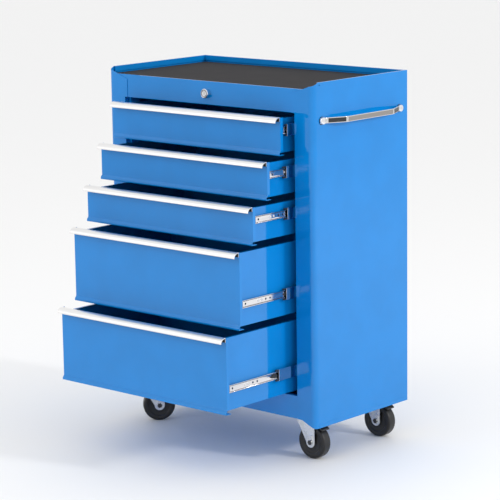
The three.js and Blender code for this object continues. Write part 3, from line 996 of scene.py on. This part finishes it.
@dataclass
class SideHandle:
    """The bent flat push handle on the right side panel.

    Attributes:
        thickness: The strap's thickness.
        tall: The strap's height.
        grip_inset: How far each end of the grip lies from the handle's end.
        washer_lip: How far the black rings under the bosses, painted shade, reach past the bosses.
        bend_gap: How far an inlay stops short of a bend.
        boss_gap: How far a leg's inlay starts from the middle of its boss's edge.
    """

    thickness: float = 4.0 * MM
    tall: float = 12.5 * MM
    grip_inset: float = 63.0 * MM
    washer_lip: float = 0.8 * MM
    bend_gap: float = 2.5 * MM
    boss_gap: float = 7.0 * MM

    def build(self) -> None:
        """Builds the strap, its foot bosses with black rings under them as painted shade, and the inlays in
        its outer face.
        """
        low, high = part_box("side_handle")
        middle = (low.y + high.y) / 2
        level = (low.z + high.z) / 2
        boss = (high.z - low.z) / 2
        foot = low.y + boss
        half = [
            (low.x, low.y + 0.5 * MM),
            (low.x + 1.5 * MM, foot + boss),
            (high.x - self.thickness, low.y + self.grip_inset),
        ]
        path = half + [(x, 2 * middle - y) for x, y in reversed(half)]
        self.strap(path, level)
        feet = [Vector((low.x, y, level)) for y in (foot, 2 * middle - foot)]
        boss_profile = [
            (0.0, 0.0), (boss, 0.0), (boss, 4.6 * MM), (boss - 0.9 * MM, 6.1 * MM),
            (boss - 2.5 * MM, 6.5 * MM), (0.0, 6.5 * MM),
        ]
        self.turned("side_handle_feet", feet, boss_profile, LOCK_CHROME, HANDLE_CHROME)
        # Black rings round the feet of the bosses: painted shade where the bosses meet the panel.
        rim = boss + self.washer_lip
        shade_ring_profile = [(0.0, 0.0), (rim, 0.0), (rim, 1.0 * MM), (0.0, 1.0 * MM)]
        self.turned("side_handle_washers", feet, shade_ring_profile, LEG_INLAY_AND_RING_SHADE, LEG_INLAY_AND_RING_SHADE)
        bend, leg = self.bend_gap, self.boss_gap
        self.inlay("side_handle_front_inlay", path[1], path[2], leg, bend, level, LEG_INLAY_AND_RING_SHADE)
        self.inlay("side_handle_rear_inlay", path[3], path[4], bend, leg, level, LEG_INLAY_AND_RING_SHADE)
        self.inlay("side_handle_grip_inlay", path[2], path[3], bend, bend, level, GRIP_FACE)

    def strap(self, path: Sequence[Point2], level: float) -> None:
        """The bent strap.

        Args:
            path: The strap's inner face from front to rear, in X and Y.
            level: The strap's middle height.
        """
        section = sheet_section(rounded(path[::-1], 4.0 * MM, 6), self.thickness)
        made = bmesh.new()
        prism(made, section, Axis.Z, level - self.tall / 2, level + self.tall / 2)
        strap = soften(mesh_object("side_handle_strap", outward(made), HANDLE_CHROME), 1.1, 4)
        attach(strap, "cabinet", HANDLE_CHROME, "side_handle")

    def turned(
        self, name: str, feet: Iterable[Vector], profile: Sequence[Point2], look: Finish, owner: Finish
    ) -> None:
        """A turned part at each foot, standing out from the side panel.

        Args:
            name: The piece's name.
            feet: The middle of each foot.
            profile: Radius and height from the panel.
            look: The finish that it wears.
            owner: A finish handed on to attach, which doesn't use it.
        """
        made = bmesh.new()
        for place in feet:
            revolve(made, profile, place, Vector((1.0, 0.0, 0.0)))
        attach(mesh_object(name, outward(made), look), "cabinet", owner)

    def inlay(
        self,
        name: str,
        start: Point2,
        end: Point2,
        start_inset: float,
        end_inset: float,
        level: float,
        finish: Finish,
    ) -> None:
        """A thin strip let into the strap's outer face, from one bend to the next.

        Args:
            name: The piece's name.
            start: Where the strap's inner face starts, in X and Y.
            end: Where it ends.
            start_inset: How far the strip stays back from the start.
            end_inset: How far the strip stays back from the end.
            level: The strap's middle height.
            finish: The strip's finish.
        """
        first, last = Vector(start), Vector(end)
        along = (last - first).normalized()
        out = Vector((along.y, -along.x))
        first += along * start_inset
        last -= along * end_inset
        near, far = out * (self.thickness - 0.2 * MM), out * (self.thickness + 0.3 * MM)
        half_height = self.tall / 2 - 1.5 * MM
        made = bmesh.new()
        outline = [tuple(first + near), tuple(last + near), tuple(last + far), tuple(first + far)]
        prism(made, outline, Axis.Z, level - half_height, level + half_height)
        attach(soften(mesh_object(name, outward(made), finish), 0.15), "cabinet", finish)


# ------------------------------------------------------------------------------------------------
# Drawers
# ------------------------------------------------------------------------------------------------


@dataclass
class Drawer:
    """One drawer with its rail, box and slides.

    Attributes:
        number: Its place from the top, from 1.
        rows: Makes the repeated parts.
        sheet: The sheet's thickness.
        lip_reach: How far the bottom lip stands forward of the panel.
    """

    number: int
    rows: RowMaker
    sheet: float = 1.0 * MM
    lip_reach: float = 4.5 * MM
    name: str = field(init=False)
    clip_reach: float = field(init=False)

    def __post_init__(self) -> None:
        """Sets what follows from the drawer's number.

        The top drawer's middle members stop close behind its front when it is shut, so the clips
        on their ends are shorter.
        """
        self.name = f"drawer_{self.number}"
        self.clip_reach = (4.0 if self.number == 1 else 8.5) * MM

    def build(self) -> None:
        """Builds every piece of the drawer."""
        self.front()
        self.rail()
        tray = refined(f"{self.name}_box", f"{self.name}_tray", BLUE, 0.35)
        attach(tray, self.name, BLUE, f"{self.name}_box")
        self.liner()
        for side in ("right", "left"):
            self.slide(side)

    def front(self) -> None:
        """The front panel, with its flared bottom lip rolled round and its two side returns."""
        low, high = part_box(f"{self.name}_front")
        face = low.y + self.lip_reach
        path = rounded(
            [
                (face, high.z),
                (face, low.z + 10.0 * MM),
                (low.y, low.z + 5.0 * MM),
                (low.y, low.z),
                (high.y, low.z),
            ],
            0.9 * MM,
        )
        made = bmesh.new()
        prism(made, sheet_section(path, self.sheet), Axis.X, low.x, high.x)
        for x in (low.x, high.x - self.sheet):
            corner = Vector((x, face + self.sheet * 0.98, low.z + 11.0 * MM))
            slab(made, corner, Vector((x + self.sheet, face + 8.0 * MM, high.z)))
        piece = soften(mesh_object(f"{self.name}_front_panel", outward(made), BLUE), 0.3)
        attach(piece, self.name, BLUE, f"{self.name}_front")

    def rail(self) -> None:
        """The pull rail: a leg and a quarter-round lip with a rolled bead."""
        low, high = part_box(f"{self.name}_rail")
        wall, crown, leg = 1.6 * MM, 2.0 * MM, 10.0 * MM
        back = high.y
        reach = back + 0.3 * MM - crown
        drop = high.z - low.z
        outer = arc((reach, high.z - drop), (reach - low.y, drop), 90.0, 180.0, 18)
        inner = arc((reach, high.z - drop), (reach - low.y - wall, drop - wall), 180.0, 90.0, 18)
        bead = arc((low.y + wall / 2, low.z + 0.1 * MM), (wall / 2, 0.8 * MM), 180.0, 360.0, 6)
        outline = [(back, high.z - leg), (back, high.z), *outer, *bead[1:-1], *inner,
                   (back - wall, high.z - wall), (back - wall, high.z - leg)]
        made = bmesh.new()
        prism(made, outline, Axis.X, low.x, high.x)
        piece = soften(mesh_object(f"{self.name}_pull_rail", outward(made), SATIN), 0.25)
        attach(piece, self.name, SATIN, f"{self.name}_rail")
        # The rail's hollow gets a black skin as painted shade.
        foot = (back - wall, high.z - leg)
        self.rail_lining(low, high, foot, inner, (reach, high.z - drop), (reach - low.y - wall, drop - wall))

    def rail_lining(
        self, low: Vector, high: Vector, foot: Point2, inner: list[Point2], centre: Point2, radii: Point2
    ) -> None:
        """A black skin on the faces that look into the rail's hollow, as painted shade in the hollow.

        Args:
            low: The rail's lowest corner.
            high: The rail's highest corner.
            foot: The leg's front lower edge, in Y and Z.
            inner: The lip's inner arc, from its bead to the leg.
            centre: That arc's centre.
            radii: That arc's two radii.
        """
        skin = 0.5 * MM
        leg_face, under = foot[0], centre[1] + radii[1]
        thin = (radii[0] - skin, radii[1] - skin)
        section = [
            foot,
            (leg_face - skin, foot[1]),
            (leg_face - skin, under - skin),
            *arc(centre, thin, 90.0, 180.0, 18),
            *inner,
            (leg_face, under),
        ]
        made = bmesh.new()
        prism(made, section, Axis.X, low.x + skin, high.x - skin)
        hollow_shade_piece = mesh_object(f"{self.name}_rail_lining", outward(made), RAIL_HOLLOW_SHADE)
        attach(hollow_shade_piece, self.name, RAIL_HOLLOW_SHADE)

    def liner(self) -> None:
        """A thin black liner on the drawer's floor, whose black also stands as painted shade inside the
        drawer.
        """
        low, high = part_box(f"{self.name}_box")
        made = bmesh.new()
        inset = Vector((2.0 * MM, 2.0 * MM, 0.0))
        bottom = low + inset + Vector((0.0, 0.0, 1.1 * MM))
        slab(made, bottom, Vector((high.x, high.y, low.z + 3.0 * MM)) - inset)
        piece = soften(mesh_object(f"{self.name}_liner", outward(made), LINER), 0.5)
        attach(piece, self.name, LINER)

    def slide(self, side: str) -> None:
        """One ball-bearing slide: inner and middle members, balls, and the black plastic parts.

        Args:
            side: right or left.
        """
        inner, middle = f"{self.name}_slide_inner_{side}", f"{self.name}_slide_middle_{side}"
        moving = f"{self.name}_slides"
        attach(refined(inner, f"{inner}_strip", SLIDE_ZINC, 0.3), self.name, SLIDE_ZINC, inner)
        attach(refined(middle, f"{middle}_strip", SLIDE_ZINC, 0.35), moving, SLIDE_ZINC, middle)
        self.balls(side, middle, inner, moving)
        self.bumper(side, middle, moving)
        self.lever(side, inner)

    def balls(self, side: str, middle: str, inner: str, moving: str) -> None:
        """Two rows of balls between the inner and the middle member.

        Args:
            side: right or left.
            middle: The middle member's node.
            inner: The inner member's node.
            moving: The middle member's body.
        """
        low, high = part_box(middle)
        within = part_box(inner)
        gap = (high.z - 1.0 * MM) - within[1].z
        radius = gap / 2 * 0.94
        x = (low.x + high.x) / 2
        part = ball_part(f"{middle}_ball_part", radius)
        levels = (high.z - 1.0 * MM - gap / 2, low.z + 1.0 * MM + gap / 2)
        pitch = 7.0 * MM
        rows = [Row(12, Vector((x, low.y + 14.0 * MM, z)), Vector((0.0, pitch, 0.0))) for z in levels]
        attach(self.rows.make(f"{middle}_balls", part, rows, ZINC), moving, ZINC)

    def bumper(self, side: str, middle: str, moving: str) -> None:
        """The black bumper that closes the middle member's front end, above and below its mouth.

        Args:
            side: right or left.
            middle: The middle member's node.
            moving: The middle member's body.
        """
        low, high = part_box(middle)
        clear = 0.25 * MM
        skin = 1.0 * MM + clear
        made = bmesh.new()
        web = high.x - 1.0 * MM if side == "right" else low.x + 1.0 * MM
        ends = sorted((web, web + (-4.4 if side == "right" else 4.4) * MM))
        for z0, z1 in ((high.z - skin - 2.6 * MM, high.z - skin), (low.z + skin, low.z + skin + 2.6 * MM)):
            finger = Vector((ends[0] + clear, low.y - 2.0 * MM, z0))
            slab(made, finger, Vector((ends[1] - clear, low.y + 9.0 * MM, z1)))
        face_low = Vector((ends[0] + clear, low.y - self.clip_reach, low.z + 0.4 * MM))
        face_high = Vector((ends[1] - clear, low.y - 0.4 * MM, low.z + skin + 2.6 * MM))
        slab(made, face_low, face_high)
        slab(
            made,
            Vector((face_low.x, face_low.y, high.z - skin - 2.6 * MM)),
            Vector((face_high.x, face_high.y, high.z - 0.4 * MM)),
        )
        piece = soften(mesh_object(f"{middle}_bumper", outward(made), PLASTIC), 0.3)
        attach(piece, moving, PLASTIC)

    def lever(self, side: str, inner: str) -> None:
        """The black release lever on the inner member's web.

        Args:
            side: right or left.
            inner: The inner member's node.
        """
        low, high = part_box(inner)
        level = (low.z + high.z) / 2
        outer = high.x if side == "right" else low.x
        away = 1.0 if side == "right" else -1.0
        web = outer - away * 1.6 * MM
        ends = sorted((web + away * 0.1 * MM, web + away * 1.9 * MM))
        start = low.y + 134.0 * MM
        outline = [
            (start, level - 1.0 * MM), (start + 6.0 * MM, level - 3.6 * MM),
            (start + 18.0 * MM, level - 4.6 * MM),
            (start + 22.0 * MM, level - 3.0 * MM), (start + 22.0 * MM, level + 3.0 * MM),
            (start + 16.0 * MM, level + 4.6 * MM), (start + 8.0 * MM, level + 4.0 * MM),
            (start + 6.0 * MM, level + 1.4 * MM), (start + 1.0 * MM, level + 1.4 * MM),
        ]
        made = bmesh.new()
        prism(made, outline, Axis.X, *ends)
        piece = soften(mesh_object(f"{inner}_lever", outward(made), PLASTIC), 0.4)
        attach(piece, self.name, PLASTIC)
        self.rivets(inner, Vector((web, low.y, level)), away)
        # Painted shade on the web: black strips and a black patch.
        self.strips(inner, Vector((web, low.y, level)), high.y, away)

    def rivets(self, inner: str, end: Vector, away: float) -> None:
        """Two rivet heads on the inner member's web.

        Args:
            inner: The inner member's node.
            end: The middle of the web's front end.
            away: 1 where the web faces +X, -1 where it faces -X.
        """
        profile = [(0.0, 0.0), (2.6 * MM, 0.0), (2.4 * MM, 0.7 * MM), (1.4 * MM, 1.1 * MM), (0.0, 1.2 * MM)]
        made = bmesh.new()
        for along in (53.0 * MM, 63.0 * MM):
            revolve(made, profile, end + Vector((0.0, along, 0.0)), Vector((away, 0.0, 0.0)), 20)
        attach(mesh_object(f"{inner}_rivets", outward(made), ZINC), self.name, ZINC)

    def strips(self, inner: str, end: Vector, back: float, away: float) -> None:
        """Black strips along both edges of the inner member's web and a black patch at its front end: painted
        shade, for the shade under the web's edges and in the hollow at its end.

        Args:
            inner: The inner member's node.
            end: The middle of the web's front end.
            back: Where the member ends.
            away: 1 where the web faces +X, -1 where it faces -X.
        """
        near, far = sorted((end.x + away * 0.05 * MM, end.x + away * 0.3 * MM))
        made = bmesh.new()
        for z in (end.z - 6.7 * MM, end.z + 5.7 * MM):
            start = Vector((near, end.y + 3.2 * MM, z))
            slab(made, start, Vector((far, back - 1.0 * MM, z + 1.0 * MM)))
        patch = Vector((near, end.y + 0.3 * MM, end.z - 5.5 * MM))
        slab(made, patch, Vector((far, end.y + 3.0 * MM, end.z + 5.5 * MM)))
        attach(mesh_object(f"{inner}_shades", outward(made), BLACK_STEEL_AND_SHADE), self.name, BLACK_STEEL_AND_SHADE)


# ------------------------------------------------------------------------------------------------
# Casters
# ------------------------------------------------------------------------------------------------


@dataclass
class Caster:
    """One swivel caster.

    Attributes:
        place: Its place in the frame, such as front_right.
        rows: Makes the repeated parts.
        braked: Whether it has a brake pedal.
        wheel_width: The wheel's width.
    """

    place: str
    rows: RowMaker
    braked: bool
    wheel_width: float = 24.0 * MM

    def joint(self, motion: str) -> dict:
        """The record's joint for one of this caster's motions."""
        name = f"caster_{self.place}_{motion}"
        return next(j for j in frame["joints"] if j["name"] == name)

    def build(self) -> None:
        """Builds the plate with its screws, the fork with its axle, the wheel and the pedal."""
        stem = f"caster_{self.place}"
        attach(refined(f"{stem}_plate", f"{stem}_top_plate", ZINC, 0.5), "cabinet", ZINC, f"{stem}_plate")
        attach(refined(f"{stem}_fork", f"{stem}_yoke", ZINC, 0.6), f"{stem}_fork", ZINC, f"{stem}_fork")
        self.wheel()
        self.axle_ends()
        self.plate_screws()
        if self.braked:
            pedal = f"{stem}_brake_pedal"
            attach(refined(pedal, f"{pedal}_moulding", PLASTIC, 0.9), pedal, PLASTIC, pedal)

    def wheel(self) -> None:
        """The wheel: a hard tyre with rounded shoulders, a ring in its face, and a hub."""
        stem = f"caster_{self.place}"
        low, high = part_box(f"{stem}_wheel")
        joint = self.joint("roll")
        centre, axis = Vector(joint["pos_m"]), Vector(joint["axis"])
        radius = (high.z - low.z) / 2
        half = self.wheel_width / 2
        shoulder = 4.5 * MM
        side = [
            (4.4 * MM, half + 0.6 * MM), (9.2 * MM, half + 0.6 * MM), (10.0 * MM, half - 0.1 * MM),
            (11.0 * MM, half - 1.6 * MM), (12.5 * MM, half - 1.9 * MM), (24.5 * MM, half - 1.9 * MM),
            (25.6 * MM, half - 1.5 * MM), (26.4 * MM, half - 0.5 * MM), (27.2 * MM, half - 0.1 * MM),
        ]
        tread = arc((radius - shoulder, half - shoulder), (shoulder, shoulder), 90.0, 0.0, 8)
        near = side + tread
        profile = near + [(r, -along) for r, along in reversed(near)]
        made = bmesh.new()
        revolve(made, profile, centre, axis, 96)
        piece = mesh_object(f"{stem}_tyre", outward(made), TYRE)
        attach(piece, f"{stem}_wheel", TYRE, f"{stem}_wheel")

    def axle_ends(self) -> None:
        """The pressed pads round the axle on both legs, and the blackened nuts on its ends."""
        stem = f"caster_{self.place}"
        joint = self.joint("roll")
        centre, axis = Vector(joint["pos_m"]), Vector(joint["axis"]).normalized()
        turn = Matrix((axis.cross(Vector((0.0, 0.0, 1.0))), axis, Vector((0.0, 0.0, 1.0)))).transposed()
        outline = arc((0.0, 0.0), (10.0 * MM, 10.0 * MM), -205.0, 25.0, 24)
        neck = [outline[-1], (6.5 * MM, 17.0 * MM), (-6.5 * MM, 17.0 * MM), outline[0]]
        outline += rounded(neck, 6.0 * MM)[1:-1]
        pads, nuts = bmesh.new(), bmesh.new()
        reach = self.wheel_width / 2 + 3.3 * MM
        for way in (1.0, -1.0):
            ends = sorted((way * (reach - 0.5 * MM), way * (reach + 0.8 * MM)))
            prism(pads, outline, Axis.Y, *ends)
            profile = [
                (0.0, 0.0), (6.4 * MM, 0.0), (6.4 * MM, 2.6 * MM), (5.6 * MM, 3.3 * MM), (0.0, 3.3 * MM)
            ]
            revolve(nuts, profile, centre + axis * way * (reach + 0.1 * MM), axis * way, 6)
        for vertex in pads.verts:
            vertex.co = centre + turn @ vertex.co
        pad = soften(mesh_object(f"{stem}_axle_pads", outward(pads), ZINC), 0.6, 3)
        attach(pad, f"{stem}_fork", ZINC)
        nut = soften(mesh_object(f"{stem}_axle_nuts", outward(nuts), BLACK_STEEL_AND_SHADE), 0.25)
        attach(nut, f"{stem}_fork", BLACK_STEEL_AND_SHADE)

    def plate_screws(self) -> None:
        """Four screws through the corners of the top plate, their heads facing down."""
        stem = f"caster_{self.place}"
        low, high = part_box(f"{stem}_plate")
        part = screw_part(f"{stem}_screw_part", 4.2 * MM, 2.4 * MM)
        inset = 8.0 * MM
        under = high.z - 2.5 * MM
        across = high.x - low.x - 2 * inset
        upside_down = (math.pi, 0.0, 0.0)
        rows = [
            Row(2, Vector((low.x + inset, y, under)), Vector((across, 0.0, 0.0)), upside_down)
            for y in (low.y + inset, high.y - inset)
        ]
        attach(self.rows.make(f"{stem}_plate_screws", part, rows, ZINC), "cabinet", ZINC)


# ------------------------------------------------------------------------------------------------
# Studio
# ------------------------------------------------------------------------------------------------


@dataclass
class Studio:
    """The floor, the light and the camera.

    Attributes:
        azimuth: The camera's heading from straight ahead, in degrees.
        pitch: How far the camera looks down, in degrees.
        roll: How far the camera leans, in degrees.
        lens: The focal length on a 36 mm wide sensor.
        eye: The camera's place from the middle of the cabinet's front, at floor level, in metres.
    """

    azimuth: float = 41.92
    pitch: float = 10.85
    roll: float = -0.85
    lens: float = 154.2
    eye: tuple[float, float, float] = (3.2508, -3.4828, 1.3616)

    def build(self) -> None:
        """Sets up everything round the chest."""
        self.camera()
        self.floor()
        self.world()
        self.lights()
        bpy.context.scene.view_settings.view_transform = "Standard"

    def camera(self) -> None:
        """Places the camera and makes it the scene's own."""
        a, e, r = (math.radians(v) for v in (self.azimuth, self.pitch, self.roll))
        ahead = Vector((-math.sin(a) * math.cos(e), math.cos(a) * math.cos(e), -math.sin(e)))
        right = Vector((math.cos(a), math.sin(a), 0.0))
        up = right.cross(ahead)
        leaned_right = right * math.cos(r) + up * math.sin(r)
        leaned_up = up * math.cos(r) - right * math.sin(r)
        data = bpy.data.cameras.new("camera")
        data.lens = self.lens
        data.sensor_width = 36.0
        data.clip_end = 100.0
        camera = bpy.data.objects.new("camera", data)
        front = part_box("side_panel_right")[0].y
        middle = (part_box("side_panel_right")[1].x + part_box("side_panel_left")[0].x) / 2
        place = Vector((middle, front, 0.0)) + Vector(self.eye)
        camera.matrix_world = Matrix.Translation(place) @ Matrix(
            (leaned_right, leaned_up, -ahead)
        ).transposed().to_4x4()
        bpy.context.scene.collection.objects.link(camera)
        bpy.context.scene.camera = camera

    def floor(self) -> None:
        """A wide, pale floor."""
        made = bmesh.new()
        bmesh.ops.create_grid(made, x_segments=1, y_segments=1, size=12.0)
        material = bpy.data.materials.new("Studio floor")
        material.use_nodes = True
        shader = material.node_tree.nodes["Principled BSDF"]
        shader.inputs["Base Color"].default_value = rgba((0.88, 0.88, 0.88))
        shader.inputs["Roughness"].default_value = 0.7
        mesh = bpy.data.meshes.new("studio_floor")
        made.to_mesh(mesh)
        made.free()
        mesh.materials.append(material)
        floor = bpy.data.objects.new("studio_floor", mesh)
        bpy.context.scene.collection.objects.link(floor)

    def world(self) -> None:
        """An even, pale surround."""
        world = bpy.data.worlds.new("Studio surround")
        world.use_nodes = True
        background = world.node_tree.nodes["Background"]
        background.inputs["Color"].default_value = rgba((1.0, 1.0, 1.0))
        background.inputs["Strength"].default_value = 1.0
        bpy.context.scene.world = world

    def softbox(self, name: str, place: RGB, target: RGB, size: Point2, power: float) -> None:
        """Adds a rectangular area light.

        Args:
            name: The light's name.
            place: Where it is.
            target: What it faces.
            size: Its width and height.
            power: Its power in watts.
        """
        data = bpy.data.lights.new(name, "AREA")
        data.shape = "RECTANGLE"
        data.size, data.size_y = size
        data.energy = power
        light = bpy.data.objects.new(name, data)
        light.location = place
        light.rotation_euler = (Vector(target) - Vector(place)).to_track_quat("-Z", "Y").to_euler()
        bpy.context.scene.collection.objects.link(light)

    def lights(self) -> None:
        """A key from the right, just behind the front, and a broad fill from the front left."""
        middle = (0.0, 0.0, 0.45)
        self.softbox("key_right", (3.9, 0.85, 2.1), middle, (0.4, 0.4), 58.0)
        self.softbox("fill_front", (-1.6, -3.4, 2.2), middle, (2.4, 2.4), 24.0)


# ------------------------------------------------------------------------------------------------
# Assembly
# ------------------------------------------------------------------------------------------------


def main() -> None:
    """Builds the chest and the studio."""
    logging.basicConfig(level=logging.INFO, format="%(message)s")
    rows = RowMaker()
    Studio().build()
    Cabinet(rows).build()
    Lock().build()
    SideHandle().build()
    for number in range(1, 6):
        Drawer(number, rows).build()
    for place in ("front_right", "rear_right", "front_left", "rear_left"):
        Caster(place, rows, braked=place.endswith("right")).build()


if __name__ == "__main__":
    main()
